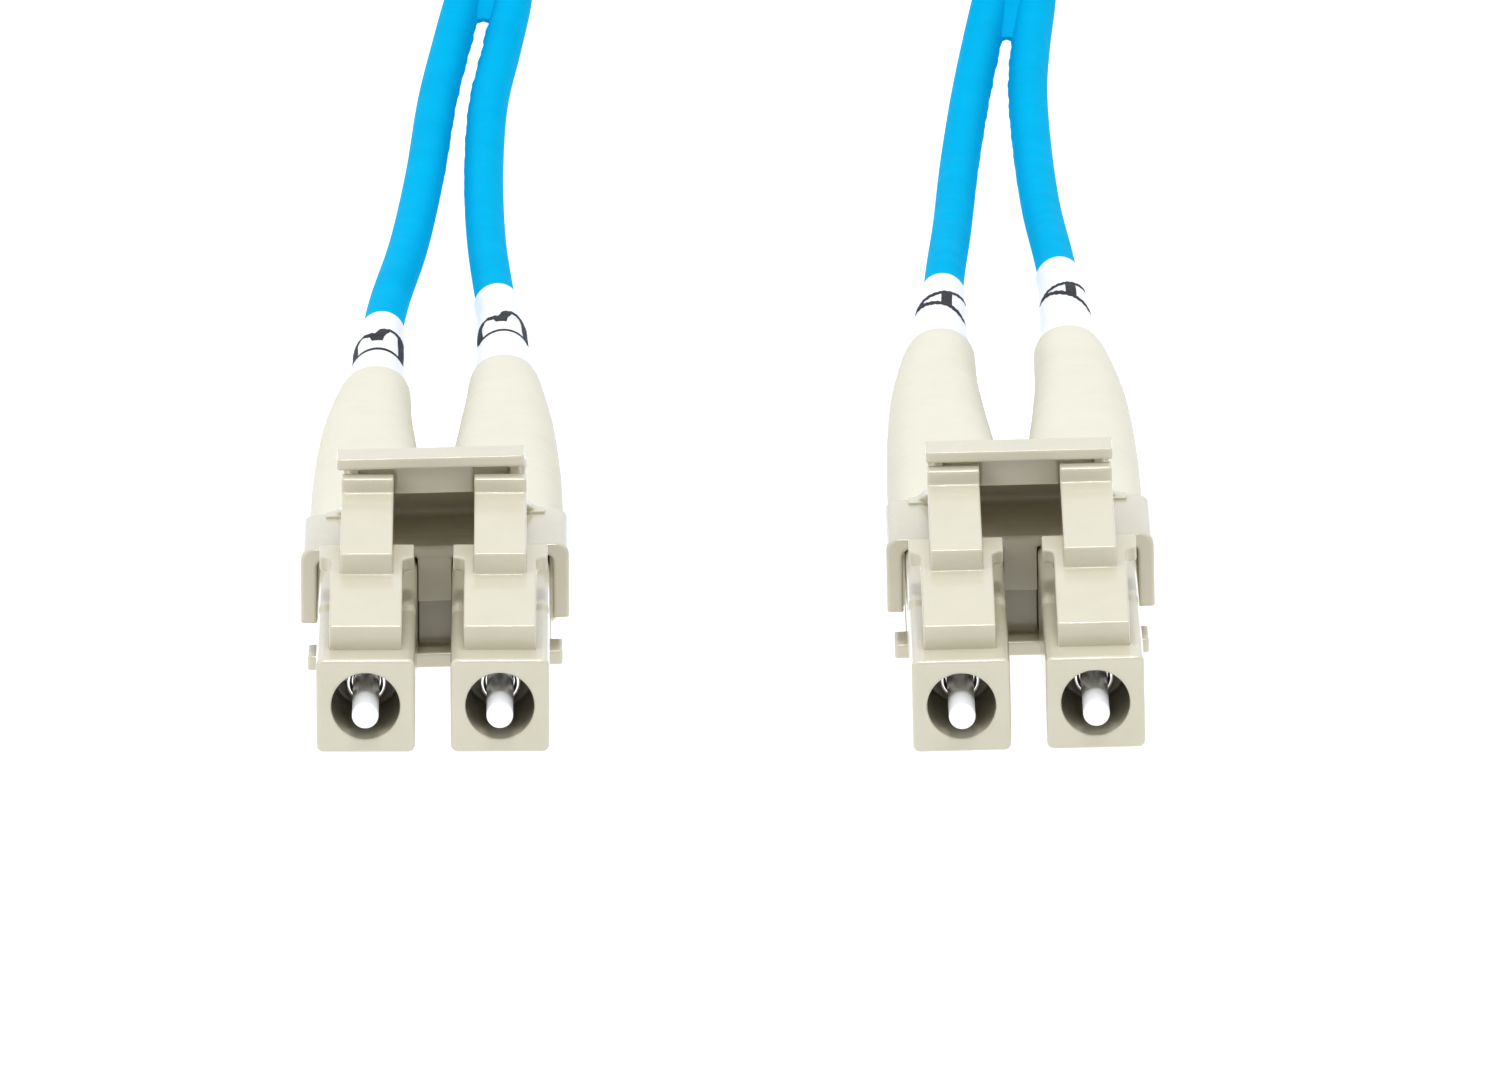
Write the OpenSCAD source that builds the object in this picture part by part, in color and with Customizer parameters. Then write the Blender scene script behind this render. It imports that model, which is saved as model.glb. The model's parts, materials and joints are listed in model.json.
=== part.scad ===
// Duplex fibre optic patch cord: two twin connectors joined by a flat twin cord.
// Millimetres. +X is to the right, +Y runs back along the cord, +Z is up, and the
// table is at z = 0. Each connector is drawn in its own frame: x = 0 midway between
// its two plugs, y = 0 at the front of the nose, z = 0 on the ferrule axis.

/* [Connectors] */
// Distance between the centres of the two connectors
connector_gap = 27.76; // [24:0.01:36]
// Height of a ferrule axis above the underside of the clip
axis_h = 3.0; // [2.9:0.1:3.4]
// Distance between the two plugs of a connector
pitch = 6.25; // [6.25:0.01:6.4]
// How far the second connector lies back from the first
back_b = 1.55; // [0:0.05:4]
// Nose-down tilt of the second connector, in degrees
tilt_b = 2.2; // [0:0.1:2.6]
// Sideways lean of the second connector, in degrees
lean_b = 1.3; // [0:0.1:1.5]

/* [Plug housing] */
// Width and height of the square housing
face_w = 4.52; // [4.4:0.01:4.6]
// Length of the housing, nose to rear face
housing_l = 22.0; // [22:0.1:23]
// Radius of the long edges
edge_r = 0.3; // [0.1:0.05:0.5]
// Diameter of the round opening in the nose
nose_bore_d = 3.2; // [3:0.05:3.4]
// Depth of the round opening
nose_bore_l = 5.2; // [5:0.1:5.4]

/* [Ferrule] */
// Diameter of the ceramic ferrule
ferrule_d = 1.25; // [1.25:0.01:1.26]
// How far the ferrule stands out of the nose
tip_out = 1.57; // [1.2:0.01:1.8]
// Outer diameter of the metal holder's front collar
holder_d = 1.85; // [1.7:0.05:1.95]
// Depth of the collar's front face behind the nose
holder_y = 3.65; // [3.4:0.05:4]

/* [Latch] */
// Width of the latch arm at its root
latch_w = 3.39; // [3:0.01:3.6]
// Width across the two locking lugs
lug_w = 4.44; // [4:0.01:4.5]
// Width of the raised press arm
press_w = 2.46; // [2.2:0.01:2.6]

/* [Clip and trigger] */
// Width of the clip's upper part
clip_w = 12.7; // [12.6:0.05:13]
// Front and rear of the clip behind the nose
clip_front = 15.6; // [15.4:0.05:16]
clip_rear = 21.5; // [21.2:0.05:21.8]
// Width of the trigger's press bar
bar_w = 8.75; // [8:0.05:9.5]

/* [Boot and cord] */
// Distance of the boot's rear end behind the nose
boot_end = 51.8; // [50:0.1:54]
// How much further back the right-hand boot of the first connector sits
boot_slip = 2.0; // [0:0.1:3]
// Diameter of one leg of the cord
leg_d = 2.0; // [1.8:0.1:2]
// Length of the marking sleeve that shows behind the boot
sleeve_l = 14; // [10:0.5:18]
// How much longer the right-hand plug's sleeve is
sleeve_more = 2.8; // [0:0.1:4]
// Outer diameter of the marking sleeve
sleeve_d = 2.7; // [2.6:0.05:2.8]

/* [Coil] */
// Radius of the outermost turn, at the middle of the cord
coil_r = 25.5; // [24:0.5:28]
// Number of turns that lie side by side
coil_rows = 3; // [3:1:4]

/* [Hidden] */
$fn = 48;
EPS = 0.02;
CLEAR = 0.05;
half_face = face_w / 2;
half_pitch = pitch / 2;

// The second connector rests on the front left corner of its clip's underside.
tab_x = 6.035;
low_corner = sin(lean_b) * tab_x - cos(lean_b) * (sin(tilt_b) * clip_front - cos(tilt_b) * axis_h);
y_front = -(boot_end + boot_slip - tip_out) / 2;

// Ferrule holder, spring chamber and rear body, as distances behind the nose
chamber_y = 6.0;
chamber_d = 3.0;
flange_y = 6.05;
flange_l = 0.9;
flange_d = 2.7;
holder_end = 12.0;
// The holder grips the ferrule in a slightly tapered seat.
seat_r = [0.61, 0.59];
seat_end = 8.0;
rear_body_y = 12.8;
rear_body_d = 3.6;
post_y = 23.0;
post_d = 2.4;
post_end = 30.0;
crimp_y = 24.0;
crimp_end = 30.5;
crimp_d = 3.1;
fibre_d = 0.9;
fibre_y = 9.0;

// Latch pivot, in side view
pivot = [2.9, 2.75];
pivot_r = 0.45;
root_y = 1.62;
root_z = 3.42;
step_y = 6.58;
lug_end = 10.1;
// Top of the latch arm in side view, which flattens towards the lugs
ARM_TOP = [[root_y, root_z], [3.84, 3.93], [6.1, 4.37], [lug_end, 4.9]];

// Trigger hinge, in side view
hinge = [20.9, 3.5];
hinge_r = 0.45;
hinge_w = 10.4;
plate_t = 0.62;

// Cord: flat twin cord, its coil and the two ties
zip_w = 4.1;
zip_t = 2.0;
turn_pitch = 2.15;
coil_c = [2.4, 152];
coil_base = 0.5;
coil_in = coil_r - (coil_rows - 1) * turn_pitch - zip_t / 2 - 0.5;
coil_out = coil_r + zip_t / 2 + 0.25;
coil_top = coil_base + 2 * zip_w + 0.1;
tie_w = 4;
tie_t = 0.45;

// Routes of the four legs behind their boots, and of the twin cord's two leads.
// The last two numbers of a lead's point are its height and its roll in degrees.
ROUTE_A1 = [[-16.9, 36, 2.7], [-16.6, 46, 2.0], [-15.7, 60, 1.2], [-15, 74, 1], [-14.5, 88, 1],
    [-13.8, 100, 1], [-13.2, 109, 1], [-12.6, 116, 1]];
ROUTE_A2 = [[-10.95, 40, 2.6], [-11.4, 50, 1.9], [-11.8, 62, 1.2], [-11.95, 75, 1], [-11.75, 88, 1],
    [-11.1, 99, 1], [-10.55, 109, 1], [-10.5, 116, 1]];
ROUTE_B1 = [[10.9, 36, 4.3], [11.3, 47, 3.3], [11.9, 60, 2.1], [12.5, 74, 1.3], [13.3, 88, 1],
    [14.1, 99, 1], [14.9, 109, 1], [15.5, 116, 1]];
ROUTE_B2 = [[17, 37, 4.5], [16.8, 50, 3.3], [16.5, 64, 2], [16.4, 78, 1.2], [16.45, 90, 1],
    [16.8, 99, 1], [17.3, 108, 1], [17.6, 116, 1]];
LEAD_A = [[-11.55, 116.2, 1, 0], [-12, 122, 1.3, 15], [-13.5, 128, 1.8, 45], [-15.7, 133, 2.3, 75],
    [-18.5, 137.4, 2.55, 90]];
LEAD_B = [[16.55, 116.2, 1, 0], [17, 122, 1.6, 15], [18.4, 128, 3.4, 45], [20.5, 133, 5.3, 75],
    [23.3, 137.4, 6.65, 90]];

beige = [0.80, 0.77, 0.65];
ceramic = [0.95, 0.95, 0.94];
metal = [0.72, 0.72, 0.74];
sleeve_white = [0.93, 0.93, 0.95];
jacket_blue = [0.01, 0.46, 0.86];

// ---- Placing -------------------------------------------------------------------

// Places a connector's frame: "a" lies flat, "b" lies tilted on its clip's corner.
module at_connector(side) {
    if (side == "a")
        translate([-connector_gap / 2, y_front, axis_h])
            children();
    else
        translate([connector_gap / 2, y_front + back_b, low_corner])
            rotate([tilt_b, -lean_b, 0])
                children();
}

// Places a plug's frame: slot -1 is the left plug of a connector, 1 the right one.
module at_plug(side, slot) {
    at_connector(side)
        translate([slot * half_pitch, 0, 0])
            children();
}

// Stretches a round section along the plug, from one depth to another.
module along(from, to) {
    translate([0, from, 0])
        rotate([-90, 0, 0])
            linear_extrude(to - from)
                children();
}

// Turns an outline of radius against depth about the plug's axis.
module turned() {
    rotate([-90, 0, 0])
        rotate_extrude()
            children();
}

// Gives a side view, drawn as depth against height, a width across X.
module across(width) {
    rotate([90, 0, 90])
        linear_extrude(width, center = true)
            children();
}

module rod(d, from, to) {
    along(from, to)
        circle(d = d);
}

module rounded_square(w, h, r) {
    square([w - 2 * r, h], center = true);
    square([w, h - 2 * r], center = true);
    for (x = [-1, 1], y = [-1, 1])
        translate([x * (w / 2 - r), y * (h / 2 - r)])
            circle(r);
}

// ---- Sweeping a cord -----------------------------------------------------------

// Point at t, from 0 to 1, on the smooth curve between b and c.
function spline(a, b, c, d, t) =
    (2 * b + (c - a) * t + (2 * a - 5 * b + 4 * c - d) * t * t + (3 * b - a - 3 * c + d) * t * t * t) / 2;

// A route with steps points to each stretch between two of its own points.
function smooth_route(p, steps) =
    let (n = len(p) - 1)
    [for (i = [0:n - 1], k = [0:steps - 1])
        spline(p[max(i - 1, 0)], p[i], p[i + 1], p[min(i + 2, n)], k / steps), p[n]];

function unit(v) = v / norm(v);

function place(p) = [p[0], p[1], p[2]];

// Direction of a route at its point i.
function heading(p, i) = unit(place(p[min(i + 1, len(p) - 1)]) - place(p[max(i - 1, 0)]));

// One ring of a swept section: half-width a, half-height b, rolled about the route.
function ring(p, i, a, b, sides) =
    let (dir = heading(p, i), side = unit(cross(dir, [0, 0, 1])), up = cross(side, dir),
        roll = len(p[i]) > 3 ? p[i][3] : 0)
    [for (k = [0:sides - 1])
        let (t = (k + 0.5) * 360 / sides, u = a * cos(t), v = b * sin(t))
        place(p[i]) + side * (u * cos(roll) - v * sin(roll)) + up * (u * sin(roll) + v * cos(roll))];

module swept(p, a, b, sides) {
    n = len(p);
    points = [for (i = [0:n - 1]) each ring(p, i, a, b, sides)];
    walls = [for (i = [0:n - 2], k = [0:sides - 1])
        let (m = (k + 1) % sides, here = i * sides, next = here + sides)
        each [[here + k, here + m, next + m], [here + k, next + m, next + k]]];
    near_end = [for (k = [0:sides - 1]) sides - 1 - k];
    far_end = [for (k = [0:sides - 1]) (n - 1) * sides + k];
    polyhedron(points, concat([near_end], walls, [far_end]), convexity = 8);
}

// A point of a plug's axis in the common frame, y behind the nose.
function plug_point(side, slot, y) =
    side == "a"
        ? [slot * half_pitch - connector_gap / 2, y_front + y, axis_h]
        : [connector_gap / 2 + slot * half_pitch * cos(lean_b) - y * sin(tilt_b) * sin(lean_b),
            y_front + back_b + y * cos(tilt_b),
            low_corner + slot * half_pitch * sin(lean_b) + y * sin(tilt_b) * cos(lean_b)];

function boot_tip(side, slot) = boot_end + (side == "a" && slot > 0 ? boot_slip : 0);

function route_of(side, slot) =
    side == "a" ? (slot < 0 ? ROUTE_A1 : ROUTE_A2) : (slot < 0 ? ROUTE_B1 : ROUTE_B2);

// A leg's whole route, from the crimp inside the boot to the end of the split.
function leg_route(side, slot) =
    concat([plug_point(side, slot, crimp_end), plug_point(side, slot, 41),
        plug_point(side, slot, boot_tip(side, slot))], route_of(side, slot));

// ---- Plug ----------------------------------------------------------------------

function arm_top(y) = lookup(y, ARM_TOP);

module housing() {
    color(beige)
        difference() {
            union() {
                along(0, housing_l)
                    rounded_square(face_w, face_w, edge_r);
                across(latch_w)
                    polygon([[root_y, half_face - edge_r], [root_y, root_z],
                        [pivot[0] - CLEAR, arm_top(pivot[0] - CLEAR)],
                        [pivot[0] - CLEAR, half_face - edge_r]]);
            }
            rod(nose_bore_d, -EPS, nose_bore_l);
            rod(holder_d + 0.25, 0, chamber_y + EPS);
            rod(chamber_d, chamber_y, rear_body_y);
            rod(rear_body_d, rear_body_y - EPS, housing_l + EPS);
            translate([0, pivot[0], pivot[1]])
                rotate([0, 90, 0])
                    cylinder(r = pivot_r + CLEAR - 0.01, h = face_w, center = true);
        }
}

module latch() {
    color(beige) {
        translate([0, pivot[0], pivot[1]])
            rotate([0, 90, 0])
                cylinder(r = pivot_r, h = latch_w, center = true);
        across(latch_w)
            polygon([[pivot[0], pivot[1] - pivot_r], [3.5, 2.5], [lug_end, 4.25],
                ARM_TOP[3], ARM_TOP[2], ARM_TOP[1], [pivot[0], arm_top(pivot[0])]]);
        across(lug_w)
            polygon([[8.6, 4.05], [lug_end, 4.3], ARM_TOP[3], [8.6, arm_top(8.6)]]);
        across(press_w)
            polygon([[step_y, 4.0], [step_y, 5.46], [12.84, 6.56], [12.9, 7.15], [13.05, 7.28],
                [13.45, 7.28], [13.85, 7.0], [13.9, 6.1], [lug_end, 5.0], [lug_end, 4.5]]);
    }
}

module ferrule() {
    color(ceramic)
        turned()
            polygon([[0, -tip_out], [0.42, -tip_out], [0.56, 0.1 - tip_out],
                [ferrule_d / 2, 0.35 - tip_out], [ferrule_d / 2, holder_y],
                [seat_r[0], holder_y], [seat_r[1], seat_end], [0, seat_end]]);
}

module ferrule_holder() {
    color(metal)
        turned()
            difference() {
                union() {
                    translate([0, holder_y])
                        square([holder_d / 2, flange_y - holder_y + EPS]);
                    translate([0, flange_y])
                        square([flange_d / 2, flange_l]);
                    translate([0, flange_y])
                        square([0.85, holder_end - flange_y]);
                }
                polygon([[-EPS, holder_y - EPS], [seat_r[0] + 0.01, holder_y - EPS],
                    [seat_r[1] + 0.01, seat_end], [-EPS, seat_end]]);
                translate([-EPS, 7])
                    square([0.5 + EPS, 6]);
            }
}

// A compression spring of round wire, with the axis along the plug.
module spring() {
    turns = 7;
    per_turn = 10;
    wire_r = 0.16;
    mean_r = 1.18;
    from = flange_y + flange_l + wire_r + 0.02;
    rise = (rear_body_y - wire_r - 0.02 - from) / turns;
    helix = [for (k = [0:turns * per_turn])
        let (t = k * 360 / per_turn)
        [mean_r * cos(t), from + rise * k / per_turn, mean_r * sin(t)]];
    color(metal)
        swept(helix, wire_r, wire_r, 6);
}

module rear_body() {
    color(metal)
        turned()
            difference() {
                union() {
                    translate([0, rear_body_y])
                        square([rear_body_d / 2, post_y - rear_body_y]);
                    translate([0, rear_body_y])
                        square([post_d / 2, post_end - rear_body_y]);
                }
                translate([-EPS, rear_body_y - EPS])
                    square([1 + EPS, 2.2]);
                translate([-EPS, rear_body_y])
                    square([0.5 + EPS, post_end]);
            }
}

module crimp_ring() {
    color(metal)
        difference() {
            rod(crimp_d, crimp_y, crimp_end);
            rod(post_d + EPS, crimp_y - EPS, crimp_end + EPS);
        }
}

module fibre() {
    color([0.95, 0.85, 0.5])
        rod(fibre_d, fibre_y, crimp_end);
}

module boot(side, slot) {
    tip = boot_tip(side, slot);
    shift = tip - boot_end;
    color(beige)
        turned()
            difference() {
                polygon([[0, housing_l], [2.95, housing_l], [2.95, 24 + shift], [2.8, 32 + shift],
                    [2.35, 42.5 + shift], [1.92, 50 + shift], [1.8, 51.2 + shift], [1.62, tip], [0, tip]]);
                translate([-EPS, housing_l - EPS])
                    square([rear_body_d / 2 + 0.03 + EPS, post_y - housing_l + 0.1]);
                translate([-EPS, housing_l])
                    square([crimp_d / 2 + 0.03 + EPS, crimp_end + 0.5 - housing_l]);
                translate([-EPS, housing_l])
                    square([leg_d / 2 + 0.12 + EPS, tip]);
                translate([-EPS, tip - 2.3])
                    square([sleeve_d / 2 + 0.03 + EPS, 3]);
            }
}

// The printed marking sleeve: starts just inside the boot and follows the leg.
module marking_sleeve(side, slot) {
    tip = boot_tip(side, slot);
    route = route_of(side, slot);
    first = plug_point(side, slot, tip - 2.2);
    mouth = plug_point(side, slot, tip);
    shown = sleeve_l + (slot > 0 ? sleeve_more : 0);
    ahead = unit(route[1] - route[0]);
    last = route[0] + ahead * (shown - norm(route[0] - mouth));
    color(sleeve_white)
        difference() {
            swept([first, mouth, route[0], last], sleeve_d / 2, sleeve_d / 2, 16);
            swept([first - [0, 1, 0], mouth, route[0], last + ahead], leg_d / 2 + 0.12,
                leg_d / 2 + 0.12, 12);
        }
}

module leg(side, slot) {
    color(jacket_blue)
        swept(smooth_route(leg_route(side, slot), 2), leg_d / 2, leg_d / 2, 8);
}

// ---- Clip and trigger ----------------------------------------------------------

// Front view of the clip's upper part: a channel over both housings.
module clip_channel() {
    wall = 0.78;
    skirt = -0.65;
    difference() {
        union() {
            translate([0, (axis_h + skirt) / 2])
                rounded_square(clip_w, axis_h - skirt, 0.8);
            translate([-clip_w / 2, skirt])
                square([clip_w, 1]);
        }
        translate([-clip_w / 2 + wall, skirt - 1])
            square([clip_w - 2 * wall, half_face - skirt + 1]);
    }
}

module clip() {
    floor_w = 11.0;
    tab_l = 2.0;
    web_w = pitch - face_w - 0.03;
    color(beige)
        difference() {
            union() {
                translate([0, clip_rear, 0])
                    rotate([90, 0, 0])
                        linear_extrude(clip_rear - clip_front)
                            clip_channel();
                translate([-floor_w / 2, clip_front, -axis_h])
                    cube([floor_w, clip_rear - clip_front, axis_h - half_face]);
                translate([-tab_x, clip_front, -axis_h])
                    cube([2 * tab_x, tab_l, axis_h - half_face]);
                across(web_w)
                    polygon([[clip_front, axis_h - 0.3], [clip_front, 0.25], [17, 0.1], [17, -axis_h + 0.3],
                        [clip_rear, -axis_h + 0.3], [clip_rear, axis_h - 0.3]]);
                across(hinge_w)
                    polygon([[19.9, axis_h - 0.3], [20.1, axis_h + 0.2], [clip_rear, axis_h + 0.45],
                        [clip_rear, axis_h - 0.3]]);
            }
            translate([0, hinge[0], hinge[1]])
                rotate([0, 90, 0])
                    cylinder(r = hinge_r + CLEAR, h = hinge_w + 1, center = true);
        }
}

module trigger() {
    bar_front = 13.4;
    bar_z = [7.45, 8.03];
    rise = [hinge[0] - 14.9, 7.74 - hinge[1]];
    half_t = plate_t / 2 * [rise[1], rise[0]] / norm(rise);
    color(beige) {
        translate([0, hinge[0], hinge[1]])
            rotate([0, 90, 0])
                cylinder(r = hinge_r, h = hinge_w, center = true);
        across(8.2)
            polygon([hinge + half_t, hinge - half_t, [14.9, 7.74] - half_t, [bar_front + 0.1, bar_z[0]],
                [bar_front + 0.1, bar_z[1]], [14.9, 7.74] + half_t]);
        across(bar_w)
            polygon([[bar_front, bar_z[0]], [bar_front, bar_z[1]], [15, bar_z[1]], [14.75, bar_z[0]]]);
        across(3.6)
            polygon([[13.95, 6.1], [13.95, bar_z[0] + 0.2], [14.7, bar_z[0] + 0.2], [14.6, 6.1]]);
        for (x = [-3.8, 3.8])
            translate([x, 0, 0])
                across(0.5)
                    polygon([[15.6, 4.1], [19.6, 3.45], [19.9, 3.9], [15.6, 6.95]]);
    }
}

// ---- Coil ----------------------------------------------------------------------

module lead(route) {
    color(jacket_blue)
        swept(route, zip_w / 2, zip_t / 2, 8);
}

module coil() {
    color(jacket_blue)
        translate([coil_c[0], coil_c[1], coil_base])
            rotate_extrude($fn = 96)
                translate([coil_in, 0])
                    square([coil_out - coil_in, coil_top - coil_base]);
}

// A flat tie around the coil: way is -1 on the near side and 1 on the far side.
module tie(way) {
    inner = coil_in - 0.15;
    outer = coil_out + 0.1;
    color([0.93, 0.93, 0.9])
        translate([coil_c[0], coil_c[1] + way * (inner + outer) / 2, 0])
            difference() {
                translate([-tie_w / 2, -(outer - inner) / 2 - tie_t, 0])
                    cube([tie_w, outer - inner + 2 * tie_t, coil_top + 2 * tie_t]);
                translate([-tie_w, -(outer - inner) / 2, tie_t])
                    cube([2 * tie_w, outer - inner, coil_top - tie_t + 0.1]);
            }
}

at_plug("a", -1) housing();  // housing_a1
at_plug("a", 1) housing();  // housing_a2
at_plug("b", -1) housing();  // housing_b1
at_plug("b", 1) housing();  // housing_b2
at_plug("a", -1) latch();  // latch_a1
at_plug("a", 1) latch();  // latch_a2
at_plug("b", -1) latch();  // latch_b1
at_plug("b", 1) latch();  // latch_b2
at_plug("a", -1) ferrule();  // ferrule_a1
at_plug("a", 1) ferrule();  // ferrule_a2
at_plug("b", -1) ferrule();  // ferrule_b1
at_plug("b", 1) ferrule();  // ferrule_b2
at_plug("a", -1) ferrule_holder();  // ferrule_holder_a1
at_plug("a", 1) ferrule_holder();  // ferrule_holder_a2
at_plug("b", -1) ferrule_holder();  // ferrule_holder_b1
at_plug("b", 1) ferrule_holder();  // ferrule_holder_b2
at_plug("a", -1) spring();  // spring_a1
at_plug("a", 1) spring();  // spring_a2
at_plug("b", -1) spring();  // spring_b1
at_plug("b", 1) spring();  // spring_b2
at_plug("a", -1) rear_body();  // rear_body_a1
at_plug("a", 1) rear_body();  // rear_body_a2
at_plug("b", -1) rear_body();  // rear_body_b1
at_plug("b", 1) rear_body();  // rear_body_b2
at_plug("a", -1) crimp_ring();  // crimp_ring_a1
at_plug("a", 1) crimp_ring();  // crimp_ring_a2
at_plug("b", -1) crimp_ring();  // crimp_ring_b1
at_plug("b", 1) crimp_ring();  // crimp_ring_b2
at_plug("a", -1) fibre();  // fibre_a1
at_plug("a", 1) fibre();  // fibre_a2
at_plug("b", -1) fibre();  // fibre_b1
at_plug("b", 1) fibre();  // fibre_b2
at_plug("a", -1) boot("a", -1);  // boot_a1
at_plug("a", 1) boot("a", 1);  // boot_a2
at_plug("b", -1) boot("b", -1);  // boot_b1
at_plug("b", 1) boot("b", 1);  // boot_b2
marking_sleeve("a", -1);  // marking_sleeve_a1
marking_sleeve("a", 1);  // marking_sleeve_a2
marking_sleeve("b", -1);  // marking_sleeve_b1
marking_sleeve("b", 1);  // marking_sleeve_b2
leg("a", -1);  // leg_a1
leg("a", 1);  // leg_a2
leg("b", -1);  // leg_b1
leg("b", 1);  // leg_b2
at_connector("a") clip();  // clip_a
at_connector("b") clip();  // clip_b
at_connector("a") trigger();  // trigger_a
at_connector("b") trigger();  // trigger_b
lead(LEAD_A);  // lead_a
lead(LEAD_B);  // lead_b
coil();
tie(-1);  // tie_near
tie(1);  // tie_far
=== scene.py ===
# Looks of a duplex fibre optic patch cord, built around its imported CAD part.
#
# The builders work in millimetres in a plug's or a connector's own frame: x across,
# y back from the front of the nose, z up from the ferrule axis. Cord routes are in
# metres in the common frame, as the rest of the scene is.
import json
import math

import bpy
import numpy as np
from mathutils import Matrix, Vector


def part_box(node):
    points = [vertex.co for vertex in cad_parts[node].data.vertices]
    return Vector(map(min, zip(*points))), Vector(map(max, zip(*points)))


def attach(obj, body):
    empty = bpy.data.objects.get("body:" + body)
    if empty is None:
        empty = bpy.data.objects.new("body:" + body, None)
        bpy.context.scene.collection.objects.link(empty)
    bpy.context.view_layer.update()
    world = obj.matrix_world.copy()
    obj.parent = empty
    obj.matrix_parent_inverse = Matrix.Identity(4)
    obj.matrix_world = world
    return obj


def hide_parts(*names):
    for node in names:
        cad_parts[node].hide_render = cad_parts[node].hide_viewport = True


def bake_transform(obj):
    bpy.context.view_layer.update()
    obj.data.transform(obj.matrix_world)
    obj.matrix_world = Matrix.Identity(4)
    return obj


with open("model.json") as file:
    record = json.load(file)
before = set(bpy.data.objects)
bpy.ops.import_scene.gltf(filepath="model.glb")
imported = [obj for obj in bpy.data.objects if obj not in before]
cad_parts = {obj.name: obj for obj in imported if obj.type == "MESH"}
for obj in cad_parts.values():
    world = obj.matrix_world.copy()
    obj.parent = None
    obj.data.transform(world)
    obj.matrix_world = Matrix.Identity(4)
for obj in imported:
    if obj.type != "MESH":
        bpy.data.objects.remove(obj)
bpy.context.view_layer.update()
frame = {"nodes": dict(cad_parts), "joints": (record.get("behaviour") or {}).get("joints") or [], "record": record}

MM = 0.001
CONNECTORS = ("a", "b")
PLUGS = {"a1": -1, "a2": 1, "b1": -1, "b2": 1}

# Plug and connector sizes, in millimetres
PITCH = 6.25
HALF_FACE = 2.26
HALF_WIDTH = 2.3
TIP_OUT = 1.57
HOLDER_Y = 3.65
CLIP_FRONT, CLIP_REAR = 15.6, 21.5
BOOT_FROM, BOOT_END = 22.0, 51.8
BOOT_SLIP = {"a1": 0, "a2": 2.0, "b1": 0, "b2": 0}
HOUSING_RISE = 0.17
HINGE = (20.9, 3.5)
HINGE_COS, HINGE_SIN = 0.8167, 0.5771
FLARE_R = 1.05
# A clip's slope across, its lift, and how far the press bar is shifted aside
CLIP_LEAN = {"a": (0.0227, 0.13, -0.16), "b": (0, 0, 0)}
PLATE_Z, PLATE_HALF = 2.63, 0.37

# Legs, in millimetres: radius, where their lines and their visible jackets start
LEG_R = 1.0
LEG_FROM, LEG_MIDDLE, JACKET_FROM = 30.5, 41, 44

# Twin cord: half the distance between its two halves in millimetres, then metres
HALF_SPACING = 1.05
FORK_FROM = {"a": 0.1045, "b": 0.1005}
# Coil and ties: metres, and degrees for the start and sweep
COIL_CENTRE = (0.0024, 0.152)
COIL_R = 0.0255
TURN_PITCH = 0.00215
COIL_START = 215
COIL_SWEEP = 1690
LAYER_LOW, LAYER_HIGH = 0.00255, 0.00665
TIE_WIDTH, TIE_THICK, TIE_BEND = 0.004, 0.00045, 0.0011

# Routes of the legs behind their boots, in metres, and of the twin cord's leads, whose
# last number is the roll of the flat cord in degrees
ROUTES = {
    "a1": [(-.0169, .036, .0027), (-.0166, .046, .002), (-.0157, .06, .0012), (-.015, .074, .001),
           (-.0145, .088, .001), (-.0138, .1, .001), (-.0132, .109, .001), (-.0126, .116, .001)],
    "a2": [(-.01095, .04, .0026), (-.0114, .05, .0019), (-.0118, .062, .0012), (-.01195, .075, .001),
           (-.01175, .088, .001), (-.0111, .099, .001), (-.01055, .109, .001), (-.0105, .116, .001)],
    "b1": [(.0109, .036, .0043), (.0113, .047, .0033), (.0119, .06, .0021), (.0125, .074, .0013),
           (.0133, .088, .001), (.0141, .099, .001), (.0149, .109, .001), (.0155, .116, .001)],
    "b2": [(.017, .037, .0045), (.0168, .05, .0033), (.0165, .064, .002), (.0164, .078, .0012),
           (.01645, .09, .001), (.0168, .099, .001), (.0173, .108, .001), (.0176, .116, .001)],
}
LEAD_A = [(-.01155, .1162, .001, 0), (-.012, .122, .0013, 15), (-.0135, .128, .0018, 45),
          (-.0157, .133, .0023, 75), (-.0185, .1374, .00255, 90)]
LEAD_B = [(.01655, .1162, .001, 0), (.017, .122, .0016, 15), (.0184, .128, .0034, 45),
          (.0205, .133, .0053, 75), (.0233, .1374, .00665, 90)]

mounts = {m["name"]: m for m in frame["record"]["mounts"]}
joints = {j["name"]: j for j in frame["joints"]}


def connector_frame(c):
    """Matrix from a connector's own millimetres to the common frame."""
    x = Vector(joints[f"trigger_{c}_press"]["axis"])
    y = Vector(joints[f"ferrule_{c}1_slide"]["axis"])
    turn = Matrix((x, y, x.cross(y))).transposed().to_4x4()
    return Matrix.Translation(mounts[f"plug_pair_{c}"]["pos_m"]) @ turn @ Matrix.Scale(MM, 4)


def plug_frame(n):
    """Matrix from a plug's own millimetres to the common frame."""
    return connector_frame(n[0]) @ Matrix.Translation((PLUGS[n] * PITCH / 2, 0, 0))


def boot_tip(n):
    """Depth of a boot's mouth behind the nose. One boot has slipped a little further back."""
    return BOOT_END + BOOT_SLIP[n]


# ---- Camera ---------------------------------------------------------------------


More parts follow.
